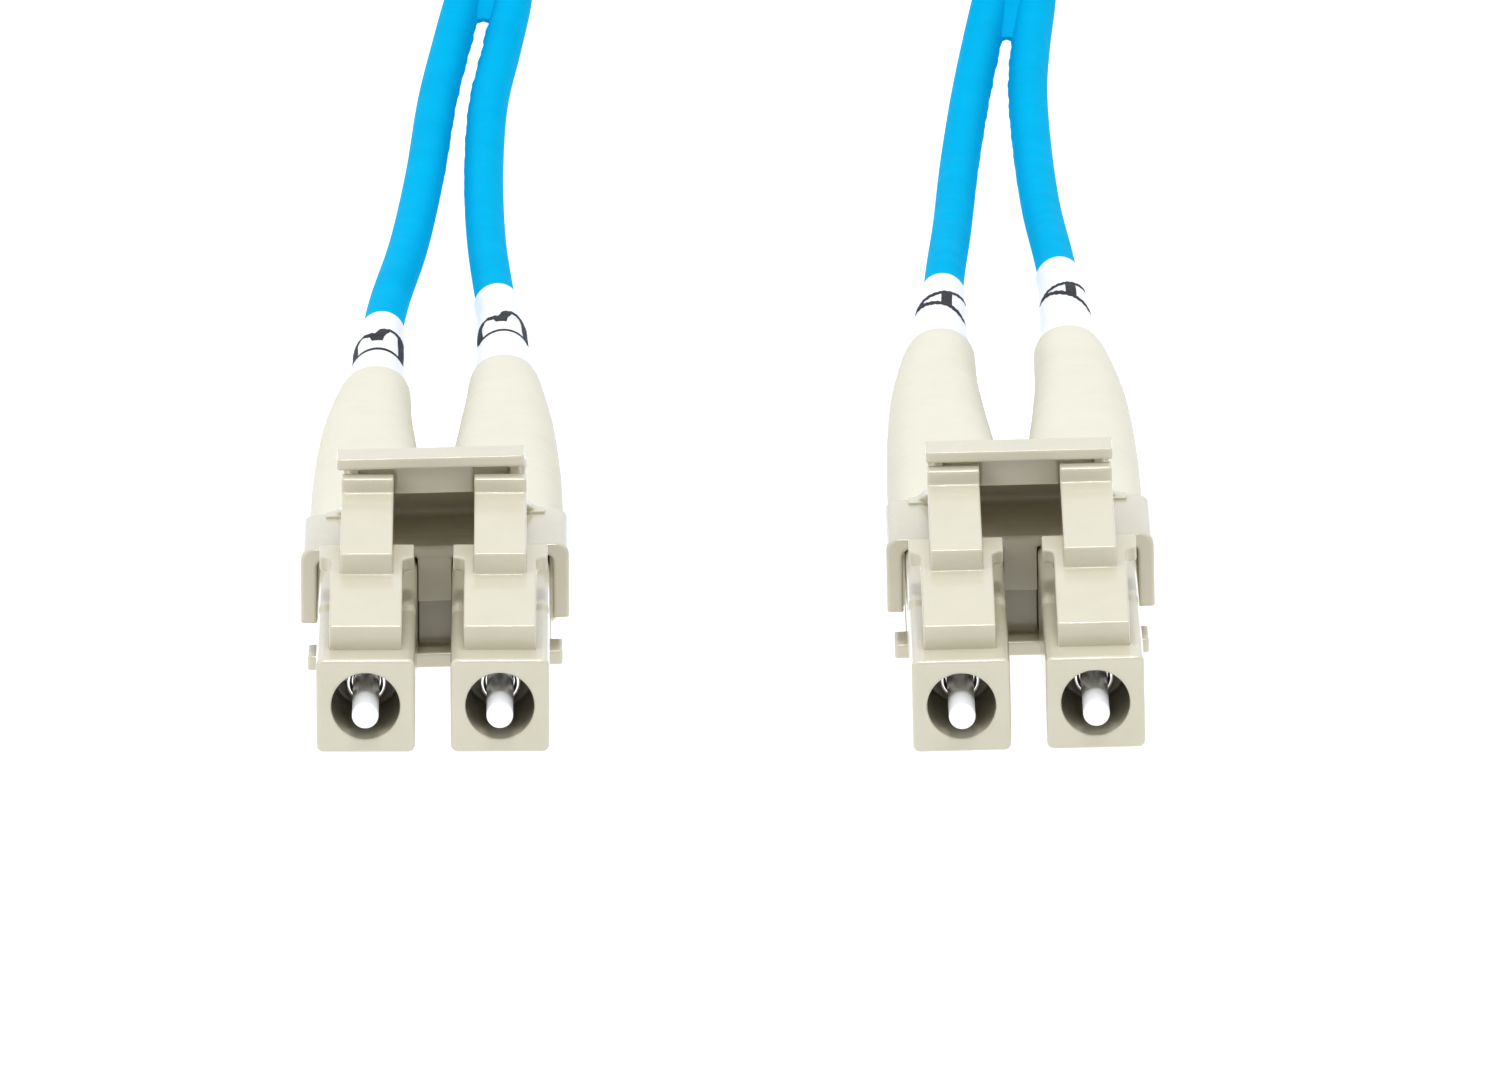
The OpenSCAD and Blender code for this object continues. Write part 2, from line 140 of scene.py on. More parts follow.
def make_camera():
    """Looks down at the two noses from far in front, as a long lens does."""
    distance, elevation, azimuth = 0.9, math.radians(16.5), math.radians(0.5)
    right, rise = -0.014758, -0.007786
    ahead = Vector((math.sin(azimuth) * math.cos(elevation), math.cos(azimuth) * math.cos(elevation),
                    -math.sin(elevation)))
    up = Vector((math.sin(azimuth) * math.sin(elevation), math.cos(azimuth) * math.sin(elevation),
                 math.cos(elevation)))
    side = ahead.cross(up)
    data = bpy.data.cameras.new("camera")
    data.lens, data.sensor_width = 464.4, 36
    data.clip_start, data.clip_end = 0.05, 20
    camera = bpy.data.objects.new("camera", data)
    bpy.context.scene.collection.objects.link(camera)
    nose = Vector(mounts["plug_pair_a"]["pos_m"])
    place = nose - (right * side + rise * up + distance * ahead)
    camera.matrix_world = Matrix.Translation(place) @ Matrix((side, up, -ahead)).transposed().to_4x4()
    bpy.context.scene.camera = camera


make_camera()


# ---- Materials ------------------------------------------------------------------


def procedural(name, light, dark, rough, patch=0.6, grain=14.0, bump=0.15, depth=0.02, **extra):
    """A surface with drifting colour, uneven roughness and a fine grain.

    light and dark are linear colours, rough is the lowest and highest roughness, patch
    and grain are how many noise cells there are to a millimetre, and depth is the
    grain's height in millimetres. Anything else sets the shader's input of that name.
    """
    material = bpy.data.materials.new(name)
    material.use_nodes = True
    nodes, links = material.node_tree.nodes, material.node_tree.links
    shader = nodes["Principled BSDF"]
    place = nodes.new("ShaderNodeTexCoord")
    scale = nodes.new("ShaderNodeMapping")
    scale.inputs["Scale"].default_value = (1 / MM, 1 / MM, 1 / MM)
    links.new(place.outputs["Object"], scale.inputs["Vector"])

    def noise(cells, detail):
        node = nodes.new("ShaderNodeTexNoise")
        node.inputs["Scale"].default_value = cells
        node.inputs["Detail"].default_value = detail
        node.inputs["Roughness"].default_value = 0.6
        links.new(scale.outputs["Vector"], node.inputs["Vector"])
        return node.outputs["Fac"]

    def spread(value, low, high):
        node = nodes.new("ShaderNodeMapRange")
        node.inputs["From Min"].default_value = 0.3
        node.inputs["From Max"].default_value = 0.7
        node.inputs["To Min"].default_value = low
        node.inputs["To Max"].default_value = high
        links.new(value, node.inputs["Value"])
        return node.outputs["Result"]

    colours = nodes.new("ShaderNodeMix")
    colours.data_type = "RGBA"
    colours.inputs["A"].default_value = (*light, 1)
    colours.inputs["B"].default_value = (*dark, 1)
    links.new(spread(noise(patch, 4), 0, 1), colours.inputs["Factor"])
    links.new(colours.outputs["Result"], shader.inputs["Base Color"])
    links.new(spread(noise(patch * 2.3, 5), rough[0], rough[1]), shader.inputs["Roughness"])
    relief = nodes.new("ShaderNodeBump")
    relief.inputs["Strength"].default_value = bump
    relief.inputs["Distance"].default_value = depth * MM
    links.new(noise(grain, 3), relief.inputs["Height"])
    links.new(relief.outputs["Normal"], shader.inputs["Normal"])
    for socket, value in extra.items():
        shader.inputs[socket.replace("_", " ")].default_value = value
    return material


beige = procedural(
    "beige_plastic", (0.59, 0.554, 0.432), (0.566, 0.53, 0.408), (0.28, 0.38),
    patch=0.5, grain=9, bump=0.08, Specular_IOR_Level=0.35, Coat_Weight=0.9, Coat_Roughness=0.13)
boot_beige = procedural(
    "boot_beige", (0.68, 0.655, 0.545), (0.655, 0.63, 0.52), (0.55, 0.65),
    patch=0.35, grain=7, bump=0.3, Specular_IOR_Level=0.25)
zirconia = procedural(
    "zirconia_white", (0.86, 0.86, 0.86), (0.82, 0.82, 0.815), (0.16, 0.24), grain=20, bump=0.04, IOR=1.9)
nickel = procedural(
    "nickel", (0.97, 0.95, 0.92), (0.93, 0.91, 0.88), (0.08, 0.14), grain=18, bump=0.05, Metallic=1.0)
spring_steel = procedural(
    "spring_wire", (0.52, 0.52, 0.53), (0.42, 0.42, 0.43), (0.2, 0.34), grain=16, Metallic=1.0)
crimp_metal = procedural(
    "crimp_alloy", (0.62, 0.50, 0.30), (0.52, 0.42, 0.25), (0.25, 0.42), grain=12, Metallic=1.0)
buffer = procedural(
    "fibre_buffer", (0.86, 0.76, 0.46), (0.80, 0.70, 0.42), (0.35, 0.5), grain=10)
sleeve_white = procedural(
    "sleeve_white", (0.85, 0.85, 0.872), (0.81, 0.81, 0.835), (0.35, 0.5),
    patch=0.4, grain=5, bump=0.35, depth=0.05)
print_black = procedural(
    "print_black", (0.010, 0.010, 0.012), (0.018, 0.018, 0.02), (0.6, 0.75), grain=12)
jacket = procedural(
    "jacket_blue", (0.0, 0.405, 0.675), (0.0, 0.375, 0.63), (0.46, 0.58),
    patch=0.25, grain=6, bump=0.25, depth=0.03, Specular_IOR_Level=0.004)
tie_plastic = procedural(
    "tie_plastic", (0.80, 0.80, 0.78), (0.74, 0.74, 0.71), (0.4, 0.55), patch=0.5, grain=8, bump=0.25)
SLOTS = {
    "connector_plastic": beige, "boot_plastic": boot_beige, "zirconia": zirconia, "nickel_plate": nickel,
    "spring_steel": spring_steel, "crimp_metal": crimp_metal, "buffer": buffer, "sleeve_white": sleeve_white,
    "cord_jacket": jacket, "tie_plastic": tie_plastic,
}


# ---- Pieces ---------------------------------------------------------------------


def new_piece(name, points, faces, slot, matrix=None, material=None):
    """A smooth mesh object in the common frame, with its slot's material."""
    mesh = bpy.data.meshes.new(name)
    mesh.from_pydata(np.asarray(points, float).tolist(), [], [list(f) for f in faces])
    if matrix is not None:
        mesh.transform(matrix)
    mesh.validate()
    mesh.shade_smooth()
    mesh.set_sharp_from_angle(angle=math.radians(40))
    mesh.materials.append(material or SLOTS[slot])
    piece = bpy.data.objects.new(name, mesh)
    bpy.context.scene.collection.objects.link(piece)
    return piece


def bridge(rings, sides, closed=False):
    """Quads between rings of the same number of points, which may close on themselves."""
    last = rings if closed else rings - 1
    return [(i * sides + k, i * sides + (k + 1) % sides,
             (i + 1) % rings * sides + (k + 1) % sides, (i + 1) % rings * sides + k)
            for i in range(last) for k in range(sides)]


def lathe(profile, closed=False, sides=64):
    """Points and quads of an outline of (radius, depth) turned about the plug's axis."""
    turn = [2 * math.pi * k / sides for k in range(sides)]
    points = [(r * math.cos(t), y, r * math.sin(t)) for r, y in profile for t in turn]
    return points, bridge(len(profile), sides, closed)


def ends(points, sides):
    """The two flat faces that close a row of rings, first and last."""
    return [tuple(range(sides))[::-1], tuple(range(len(points) - sides, len(points)))]


def round_turn(sides):
    """Angles once round, without the last one, which is the first again."""
    return np.linspace(0, 2 * math.pi, sides, endpoint=False)


def spline(route, steps):
    """A smooth line through the points of a route, with so many steps to a stretch."""
    p = np.array([route[0], *route, route[-1]], float)
    line = []
    for a, b, c, d in zip(p, p[1:], p[2:], p[3:]):
        for t in np.arange(steps) / steps:
            line.append((2 * b + (c - a) * t + (2 * a - 5 * b + 4 * c - d) * t ** 2
                         + (3 * b - a - 3 * c + d) * t ** 3) / 2)
    return np.array([*line, p[-1]])


def run_length(line):
    """Distance along a line up to each of its points."""
    return np.r_[0, np.cumsum(np.linalg.norm(np.diff(line[:, :3], axis=0), axis=1))]


def evenly(line, step):
    """The same line with its points about a step apart."""
    s = run_length(line)
    at = np.linspace(0, s[-1], max(2, round(s[-1] / step)))
    return np.stack([np.interp(at, s, line[:, k]) for k in range(line.shape[1])], 1)


def sides_of(line):
    """Level sideways and upward directions at each point of a line."""
    ahead = np.gradient(line[:, :3], axis=0)
    ahead /= np.linalg.norm(ahead, axis=1)[:, None]
    side = np.cross(ahead, (0, 0, 1))
    side /= np.linalg.norm(side, axis=1)[:, None]
    return side, np.cross(side, ahead)


def sweep(line, outline, roll=None):
    """Points and quads of an outline of (sideways, up) offsets swept along a line.

    outline is one list of offsets for every point of the line, or one for each point.
    """
    side, up = sides_of(line)
    shape = np.broadcast_to(outline, (len(line), *np.shape(outline)[-2:]))
    turn = np.zeros(len(line)) if roll is None else np.radians(roll)
    c, s = np.cos(turn)[:, None], np.sin(turn)[:, None]
    u, v = shape[..., 0], shape[..., 1]
    points = (line[:, None, :3] + (u * c - v * s)[..., None] * side[:, None]
              + (u * s + v * c)[..., None] * up[:, None]).reshape(-1, 3)
    sides = shape.shape[1]
    first, last = ends(points, sides)
    return points, [first, *bridge(len(line), sides), last]


# ---- Cords ----------------------------------------------------------------------


def leg_line(n, start):
    """A leg's centre line, from a depth inside its boot to the end of the split."""
    inside = [plug_frame(n) @ Vector((0, y, 0)) for y in (LEG_FROM, LEG_MIDDLE, boot_tip(n))]
    line = spline([tuple(p) for p in inside] + ROUTES[n], 16)
    return line[run_length(line) >= (start - LEG_FROM) * MM]


def make_leg(n):
    """One leg, round, with the torn edge of the twin cord's web along its inner side."""
    line = evenly(leg_line(n, JACKET_FROM), 0.0007)
    along = run_length(line) / MM
    inward = 0 if PLUGS[n] < 0 else math.pi
    turn = round_turn(28)
    near = np.angle(np.exp(1j * (turn - inward)))
    ragged = 0.10 + 0.03 * np.sin(along * 2.9) + 0.03 * np.sin(along * 7.7 + 1.3)
    grown = np.clip((along - along[-1] + 55) / 45, 0, 1)
    radius = LEG_R + (ragged * grown)[:, None] * np.exp(-(near / 0.13) ** 2)
    outline = np.stack([radius * np.cos(turn), radius * np.sin(turn)], -1) * MM
    joined = line.copy()
    joined[-1] += (line[-1] - line[-2]) * 0.5  # meets the twin cord without a seam
    leg = new_piece(f"jacket_leg_{n}", *sweep(joined, outline), "cord_jacket")
    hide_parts(f"leg_{n}")
    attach(leg, "cord_set")


def fork_web(c):
    """The last of the torn web that holds a connector's two legs together at the split."""
    y = np.linspace(FORK_FROM[c], LEAD_A[0][1], 22)
    left, right = (np.stack([np.interp(y, leg[:, 1], leg[:, k]) for k in (0, 1, 2)], 1)
                   for leg in (leg_line(c + "1", JACKET_FROM), leg_line(c + "2", JACKET_FROM)))
    grown = (y - y[0]) / (y[-1] - y[0])
    section = ((0.3, -1), (0.5, -1), (0.7, -1), (0.7, 1), (0.5, 1), (0.3, 1))
    points = []
    for i, (p, q) in enumerate(zip(left, right)):
        half = (0.15 + 0.5 * min(1, 2 * grown[i])) * MM
        for share, side in section:
            thin = 0.6 if share == 0.5 else 1
            points.append((p[0] + (q[0] - p[0]) * share, p[1] + 0.0005 * (i == 0 and share == 0.5),
                           p[2] + (q[2] - p[2]) * share + side * half * thin))
    first, last = ends(points, len(section))
    web = new_piece(f"fork_web_{c}", points, [first, *bridge(len(y), len(section)), last], "cord_jacket")
    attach(web, "cord_set")


def zip_outline():
    """Section of the flat twin cord: two round halves and the thin web between them."""
    right = [(HALF_SPACING + LEG_R * math.cos(math.radians(t)), LEG_R * math.sin(math.radians(t)))
             for t in range(-160, 161, 20)]
    return np.array(right + [(-x, -y) for x, y in right]) * MM


def coil_line():
    """Centre line of the coil: inward in the lower layer, up, and outward in the upper."""
    t = np.linspace(0, COIL_SWEEP, 700)
    half = COIL_SWEEP / 2
    radius = COIL_R - TURN_PITCH * (half - np.abs(t - half)) / 360
    change = np.clip((t - half) / 60 + 0.5, 0, 1)
    height = LAYER_LOW + (LAYER_HIGH - LAYER_LOW) * change ** 2 * (3 - 2 * change)
    angle = np.radians(COIL_START - t)
    return np.stack([COIL_CENTRE[0] + radius * np.cos(angle), COIL_CENTRE[1] + radius * np.sin(angle), height,
                     np.full(len(t), 90.0)], 1)


def make_trunk():
    """The flat twin cord between the two splits, wound in its coil."""
    back = spline(LEAD_B, 10)[-2::-1] * (1, 1, 1, -1) + (0, 0, 0, 180)
    line = np.concatenate([spline(LEAD_A, 10)[:-1], coil_line(), back])
    line = evenly(line, 0.0011)
    trunk = new_piece("twin_cord", *sweep(line, zip_outline(), roll=line[:, 3]), "cord_jacket")
    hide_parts("lead_a", "coil", "lead_b")
    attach(trunk, "cord_set")


# ---- Moulded pieces, made from distance fields ------------------------------------
# A field is negative inside the piece. Its zero surface becomes an even net of quads,
# with every edge rounded and every inner corner filled as a mould leaves them.


def trim(a, b, r):
    """What lies in both fields, with the edge between them rounded to radius r."""
    return np.minimum(-r, np.maximum(a, b)) + np.hypot(np.maximum(r + a, 0), np.maximum(r + b, 0))


def join(a, b, r):
    """What lies in either field, with a fillet of radius r between them."""
    return -trim(-a, -b, r)


def outline(u, v, corners):
    """Field of a convex outline. A corner is (u, v, radius), anticlockwise."""
    field = None
    for (u0, v0, r), (u1, v1, _) in zip(corners, corners[1:] + corners[:1]):
        size = math.hypot(u1 - u0, v1 - v0)
        edge = ((u - u0) * (v1 - v0) - (v - v0) * (u1 - u0)) / size
        field = edge if field is None else trim(field, edge, r)
    return field


def ruler(*marks):
    """Grid positions from mark to mark. A mark is (place, step up to the next mark)."""
    stretches = [np.linspace(a, b, max(1, round((b - a) / step)), endpoint=False)
                 for (a, step), (b, _) in zip(marks, marks[1:])]
    return np.concatenate([*stretches, [marks[-1][0]]])


def even(limit, step):
    """Grid positions the same way to both sides of zero."""
    return ruler((-limit, step), (limit, step))


def settle(field, points, rounds=3):
    """Moves points onto the zero surface of a field."""
    h = 0.004
    for _ in range(rounds):
        here = field(*points.T)
        slope = np.stack([(field(*(points + d).T) - field(*(points - d).T)) / (2 * h)
                          for d in np.eye(3) * h], 1)
        size = np.maximum((slope ** 2).sum(1), 0.2)
        points = points - slope * np.clip(here / size, -0.05, 0.05)[:, None]
    return points


def surface_net(field, *grid):
    """Points and quads of a field's zero surface, one point to each grid cell it crosses."""
    value = field(*np.meshgrid(*grid, indexing="ij"))
    cells = tuple(n - 1 for n in value.shape)
    total, hits, crossings = np.zeros((*cells, 3)), np.zeros(cells), []
    for axis in range(3):
        order = (axis, (axis + 1) % 3, (axis + 2) % 3)
        turned = value.transpose(order)
        low, high = turned[:-1], turned[1:]
        i, j, k = np.nonzero((low < 0) != (high < 0))
        share = low[i, j, k] / (low[i, j, k] - high[i, j, k])
        place = np.empty((len(i), 3))
        place[:, order[0]] = grid[order[0]][i] * (1 - share) + grid[order[0]][i + 1] * share
        place[:, order[1]] = grid[order[1]][j]
        place[:, order[2]] = grid[order[2]][k]
        around = []
        for dj, dk in ((1, 1), (0, 1), (0, 0), (1, 0)):
            cell = np.empty((3, len(i)), int)
            cell[list(order)] = i, j - dj, k - dk
            np.add.at(total, tuple(cell), place)
            np.add.at(hits, tuple(cell), 1)
            around.append(np.ravel_multi_index(tuple(cell), cells))
        quads = np.stack(around, 1)
        outward = low[i, j, k] < 0
        crossings.append(np.where(outward[:, None], quads, quads[:, ::-1]))
    used = hits.ravel() > 0
    number = np.cumsum(used) - 1
    points = total.reshape(-1, 3)[used] / hits.ravel()[used][:, None]
    return settle(field, points), number[np.concatenate(crossings)]


def housing_field(x, y, z):
    """Square plug body: nose opening, spring chamber and the rear's slightly higher top."""
    rise = HOUSING_RISE * np.clip((y - 7.95) / 0.55, 0, 1)
    body = trim(np.abs(x) - HALF_WIDTH, np.maximum(z - HALF_FACE - rise, -z - HALF_FACE), 0.34)
    body = trim(trim(body, -y, 0.19), y - BOOT_FROM, 0.1)
    r = np.hypot(x, z)
    hollow = join(trim(r - 1.6, y - 5.2, 0.1), trim(r - 1.06, y - 6.4, 0.02), 0.03)
    chamber = np.maximum(r - 1.5, np.abs(y - 9.4) - 3.4)
    rear = np.maximum(r - 1.82, 12.8 - y)
    return trim(body, -np.minimum(np.minimum(hollow, chamber), rear), 0.07)


def latch_field(x, y, z):
    """Latch with its root: sloping arm, two lugs and the raised press arm."""
    ax = np.abs(x)
    arm = outline(y, z, [(1.62, 1.96, 0), (10.1, 4.25, 0), (10.1, 4.9, 0.1), (6.1, 4.37, 0), (3.84, 3.93, 0),
                         (1.62, 3.42, 0.12)])
    plan = join(ax - 1.695, trim(ax - 2.22, 8.6 - y, 0.14), 0.42)
    arm = trim(arm, plan, 0.09)
    under_lug = np.maximum(1.72 - ax, z - 4.03 - (y - 8.6) * 0.16)
    arm = trim(arm, -under_lug, 0.06)
    block = outline(y, z, [(6.58, 4.0, 0), (10.1, 4.5, 0.05), (10.1, 6.08, 0), (6.58, 5.46, 0.1)])
    slab = outline(y, z, [(8, 4.39, 0), (13.9, 6.1, 0.05), (13.9, 6.77, 0), (8, 5.71, 0)])
    ridge = outline(y, z, [(12.84, 6.2, 0), (13.88, 6.2, 0.05), (13.88, 7.28, 0.26), (12.84, 7.28, 0.16)])
    press = trim(join(np.minimum(block, slab), ridge, 0.09), ax - 1.23, 0.08)
    return join(arm, press, 0.05)


def clip_field(x, y, z):
    """Duplex clip: a channel over both housings, the web between them and the bottom plate."""
    ax = np.abs(x)
    shell = trim(trim(ax - 6.35, z - 3, 0.62), -0.68 - z, 0.12)
    shell = trim(shell, -trim(ax - 5.57, z - HALF_FACE - HOUSING_RISE - 0.02, 0.4), 0.08)
    level = np.abs(z + PLATE_Z) - PLATE_HALF
    plate = trim(ax - 5.5, level, 0.12)
    tab = trim(trim(ax - 6.035, level, 0.12), y - CLIP_FRONT - 2, 0.1)
    low = outline(y, z, [(17, -2.7, 0), (22, -2.7, 0), (22, 1, 0), (17, 1, 0)])
    high = outline(y, z, [(15.6, 0.28, 0.1), (17, 0.12, 0), (22, 0.12, 0), (22, 2.7, 0), (15.6, 2.7, 0)])
    web = np.maximum(np.minimum(low, high), ax - 0.81)
    whole = join(join(np.minimum(plate, tab), web, 0.12), shell, 0.1)
    return trim(whole, np.abs(y - (CLIP_FRONT + CLIP_REAR) / 2) - (CLIP_REAR - CLIP_FRONT) / 2, 0.14)


def trigger_field(x, y, z):
    """Trigger: a foot on the clip, a sloping plate that flares at its root, a press bar."""
    ax = np.abs(x)
    along = (z - HINGE[1]) * HINGE_SIN - (y - HINGE[0]) * HINGE_COS
    off = (y - HINGE[0]) * HINGE_SIN + (z - HINGE[1]) * HINGE_COS
    flare = 1 - np.clip((z - 3.1) / FLARE_R, 0, 1)
    width = 4.14 + 0.2 * np.clip(along / 6, 0, 1) + FLARE_R * (1 - np.sqrt(1 - flare ** 2))
    plate = trim(trim(np.abs(off) - 0.31, np.abs(along - 3.3) - 3.9, 0.1), (ax - width) * 0.8, 0.12)
    foot = outline(y, z, [(20.6, 2.7, 0), (21.4, 2.7, 0), (21.4, 3.15, 0.1), (20.6, 3.12, 0.05)])
    foot = trim(foot, ax - 5.2, 0.06)
    toe = outline(y, z, [(17.4, 2.7, 0), (21.3, 2.7, 0), (21.3, 3.25, 0), (17.4, 3.0, 0)])
    toe = trim(toe, ax - 4.2, 0.1)
    bar = outline(y, z, [(13.4, 7.47, 0.1), (14.9, 7.47, 0.05), (15.05, 8.03, 0.1), (13.4, 8.03, 0.1)])
    lip = outline(y, z, [(14.7, 7.8, 0), (15.03, 7.8, 0), (15.03, 8.06, 0.03), (14.7, 8.06, 0.03)])
    bar = trim(join(bar, lip, 0.03), ax - 4.42, 0.1)
    tongue = outline(y, z, [(13.95, 6.1, 0.2), (14.6, 6.1, 0.1), (14.9, 7.7, 0), (13.95, 7.7, 0)])
    tongue = trim(tongue, ax - 1.85, 0.06)
    root = np.maximum(trim(join(plate, toe, 0.55), y - 21.4, 0.08), 2.7 - z)
    rib = outline(y, z, [(15.6, 4.1, 0.1), (19.6, 3.45, 0), (19.9, 3.9, 0), (15.6, 6.95, 0)])
    rib = trim(rib, np.abs(ax - 3.8) - 0.25, 0.06)
    root = join(join(root, foot, 0.1), rib, 0.08)
    return join(join(root, tongue, 0.25), bar, 0.05)


def plug_pieces():
    """Housings and latches, one mesh of each kind placed four times."""
    depths = ruler((-0.18, 0.07), (0.7, 0.2), (4.8, 0.07), (6.6, 0.3), (7.7, 0.12), (8.8, 0.5), (12.5, 0.15),
                   (13.1, 0.5), (21.7, 0.1), (22.2, 0.1))
    housing = surface_net(housing_field, even(2.46, 0.09), depths, ruler((-2.44, 0.09), (2.62, 0.09)))
    latch = surface_net(latch_field, even(2.38, 0.07), ruler((1.48, 0.07), (14.05, 0.07)),
                        ruler((1.85, 0.065), (7.42, 0.065)))
    for n in PLUGS:
        place = plug_frame(n)
        body = new_piece(f"plug_body_{n}", *housing, "connector_plastic", place)
        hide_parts(f"housing_{n}")
        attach(body, "cord_set")
        arm = new_piece(f"latch_arm_{n}", *latch, "connector_plastic", place)
        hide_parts(f"latch_{n}")
        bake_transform(arm)


def clip_pieces():
    """Clips and triggers. A connector's clip may sit a little askew on its two plugs."""
    depths = ruler((15.45, 0.08), (16, 0.16), (17.4, 0.1), (17.9, 0.3), (21.2, 0.1), (21.66, 0.1))
    clip = surface_net(clip_field, even(6.5, 0.1), depths, ruler((-3.15, 0.09), (3.15, 0.09)))
    trigger = surface_net(trigger_field, even(5.34, 0.1), ruler((13.25, 0.08), (21.55, 0.08)),
                          ruler((2.55, 0.075), (8.28, 0.075)))
    for c in CONNECTORS:
        slope, lift, aside = CLIP_LEAN[c]
        askew = Matrix(((1, 0, 0, 0), (0, 1, 0, 0), (slope, 0, 1, lift), (0, 0, 0, 1)))
        place = connector_frame(c) @ askew
        shift = aside * np.clip((trigger[0][:, 2] - 7.2) / 0.3, 0, 1)
        body = new_piece(f"duplex_clip_{c}", *clip, "connector_plastic", place)
        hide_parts(f"clip_{c}")
        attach(body, "cord_set")
        lever = new_piece(f"press_trigger_{c}", trigger[0] + shift[:, None] * (1, 0, 0), trigger[1],
                          "connector_plastic", place)
        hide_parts(f"trigger_{c}")
        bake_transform(lever)


# ---- Turned pieces ------------------------------------------------------------------


def arc(centre, r, start, end, steps):
    """Points of (radius, depth) on a round stretch of a turned outline."""
    return [(centre[0] + r * math.cos(math.radians(t)), centre[1] + r * math.sin(math.radians(t)))
            for t in np.linspace(start, end, steps)]


def ferrule_pieces(n):
    """Domed white ferrule and its nickel-plated holder."""
    place = plug_frame(n)
    dome = [(r, -TIP_OUT + 0.03 * (r / 0.4) ** 2) for r in (0.0, 0.0625, 0.07, 0.2, 0.32, 0.4)]
    shoulder = arc((0.445, 0.18 - TIP_OUT), 0.18, -75, 0, 8)
    ferrule = lathe([*dome, *shoulder, (0.625, HOLDER_Y), (0.61, HOLDER_Y + 0.02), (0.59, 7.97), (0, 7.97)])
    white = new_piece(f"ceramic_ferrule_{n}", *ferrule, "zirconia", place)
    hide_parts(f"ferrule_{n}")
    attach(white, f"ferrule_unit_{n}")
    rim = [*arc((0.895, HOLDER_Y + 0.03), 0.03, 0, -90, 5), *arc((0.79, HOLDER_Y + 0.03), 0.03, -90, -180, 5)]
    tail = [(0.628, HOLDER_Y + 0.5), (0.628, 8), (0.5, 8), (0.5, 12), (0.84, 12), (0.85, 11.95), (0.85, 6.97)]
    flange = [(1.33, 6.95), (1.35, 6.93), (1.35, 6.07), (1.33, 6.05), (0.93, 6.05), (0.925, 6.04)]
    seat = [(0.75, HOLDER_Y + 0.42), (0.68, HOLDER_Y + 0.5)]
    holder = lathe([*tail, *flange, *rim, *seat], closed=True)
    metal = new_piece(f"holder_collar_{n}", *holder, "nickel_plate", place)
    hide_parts(f"ferrule_holder_{n}")
    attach(metal, f"ferrule_unit_{n}")


def spring_piece(n):
    """Wire spring behind the holder's flange, in seven turns of round wire."""
    place = plug_frame(n)
    front, back, turns, mean_r, wire_r, sides = 7.13, 12.62, 7, 1.18, 0.16, 12
    turn = np.linspace(0, 2 * math.pi * turns, turns * 32 + 1)[:, None]
    ring = round_turn(sides)
    r = mean_r + wire_r * np.cos(ring)
    y = front + (back - front) * turn / turn[-1] + wire_r * np.sin(ring)
    points = np.stack([r * np.cos(turn), y, r * np.sin(turn)], 2).reshape(-1, 3)
    first, last = ends(points, sides)
    faces = [first, *bridge(len(turn), sides), last]
    wire = new_piece(f"spring_wire_{n}", points, faces, "spring_steel", place)
    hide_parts(f"spring_{n}")
    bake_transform(wire)


# ---- Boots and marking sleeves --------------------------------------------------------

# A boot's half-width and squareness at depths behind the nose, and its round mouth, as
# (depth past the tip, half-width)
BOOT_PROFILE = [(22, 2.75, 5), (22.25, 2.93, 4.6), (24, 2.95, 4.2), (28, 2.88, 3.6), (32, 2.78, 3.2),
                (37, 2.57, 3), (42.5, 2.3, 2.8), (46, 2.08, 2.6), (50, 1.84, 2.4), (51, 1.76, 2.3)]
BOOT_MOUTH = [(-0.72, 1.745), (-0.5, 1.735), (-0.3, 1.715), (-0.14, 1.68), (-0.04, 1.64), (0, 1.59),
              (-0.02, 1.53), (-0.08, 1.5), (-0.3, 1.48), (-2.2, 1.47), (-2.2, 0.9)]
BOOT_BENDS = {"a1": -0.3, "a2": 0.17, "b1": -0.37, "b2": 0.37}


def boot_bend(n, y):
    """How far a boot's middle swings sideways, most at two thirds of its length."""
    t = np.clip((y - BOOT_FROM) / (boot_tip(n) - BOOT_FROM), 0, 1)
    return BOOT_BENDS[n] * 6.75 * t ** 2 * (1 - t)


def boot_piece(n):
    """Tapered boot: soft square section, faint moulded rings, rounded mouth."""
    tip, sides = boot_tip(n), 72
    depth = np.arange(BOOT_FROM + 0.05, tip + BOOT_MOUTH[0][0], 0.12)
    known = np.array(BOOT_PROFILE)
    known[3:, 0] += BOOT_SLIP[n]
    half = np.interp(depth, known[:, 0], known[:, 1])
    square = np.interp(depth, known[:, 0], known[:, 2])
    ring = np.exp(-(((depth - tip + 1.6) % 2.5 - 1.25) / 0.16) ** 2) * (depth > 29)
    half = half - 0.02 * ring
    depth = np.r_[depth, [tip + past for past, _ in BOOT_MOUTH]]
    half = np.r_[half, [width for _, width in BOOT_MOUTH]]
    square = np.r_[square, np.interp(range(len(BOOT_MOUTH)), (0, 5), (2.25, 2))]
    turn = round_turn(sides)
    power = (2 / square)[:, None]
    x = half[:, None] * np.sign(np.cos(turn)) * np.abs(np.cos(turn)) ** power + boot_bend(n, depth)[:, None]
    z = half[:, None] * np.sign(np.sin(turn)) * np.abs(np.sin(turn)) ** power
    points = np.stack([x, np.broadcast_to(depth[:, None], x.shape), z], -1).reshape(-1, 3)
    faces = [ends(points, sides)[0], *bridge(len(depth), sides)]
    boot = new_piece(f"strain_boot_{n}", points, faces, "boot_plastic", plug_frame(n))
    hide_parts(f"boot_{n}")
    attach(boot, "cord_set")


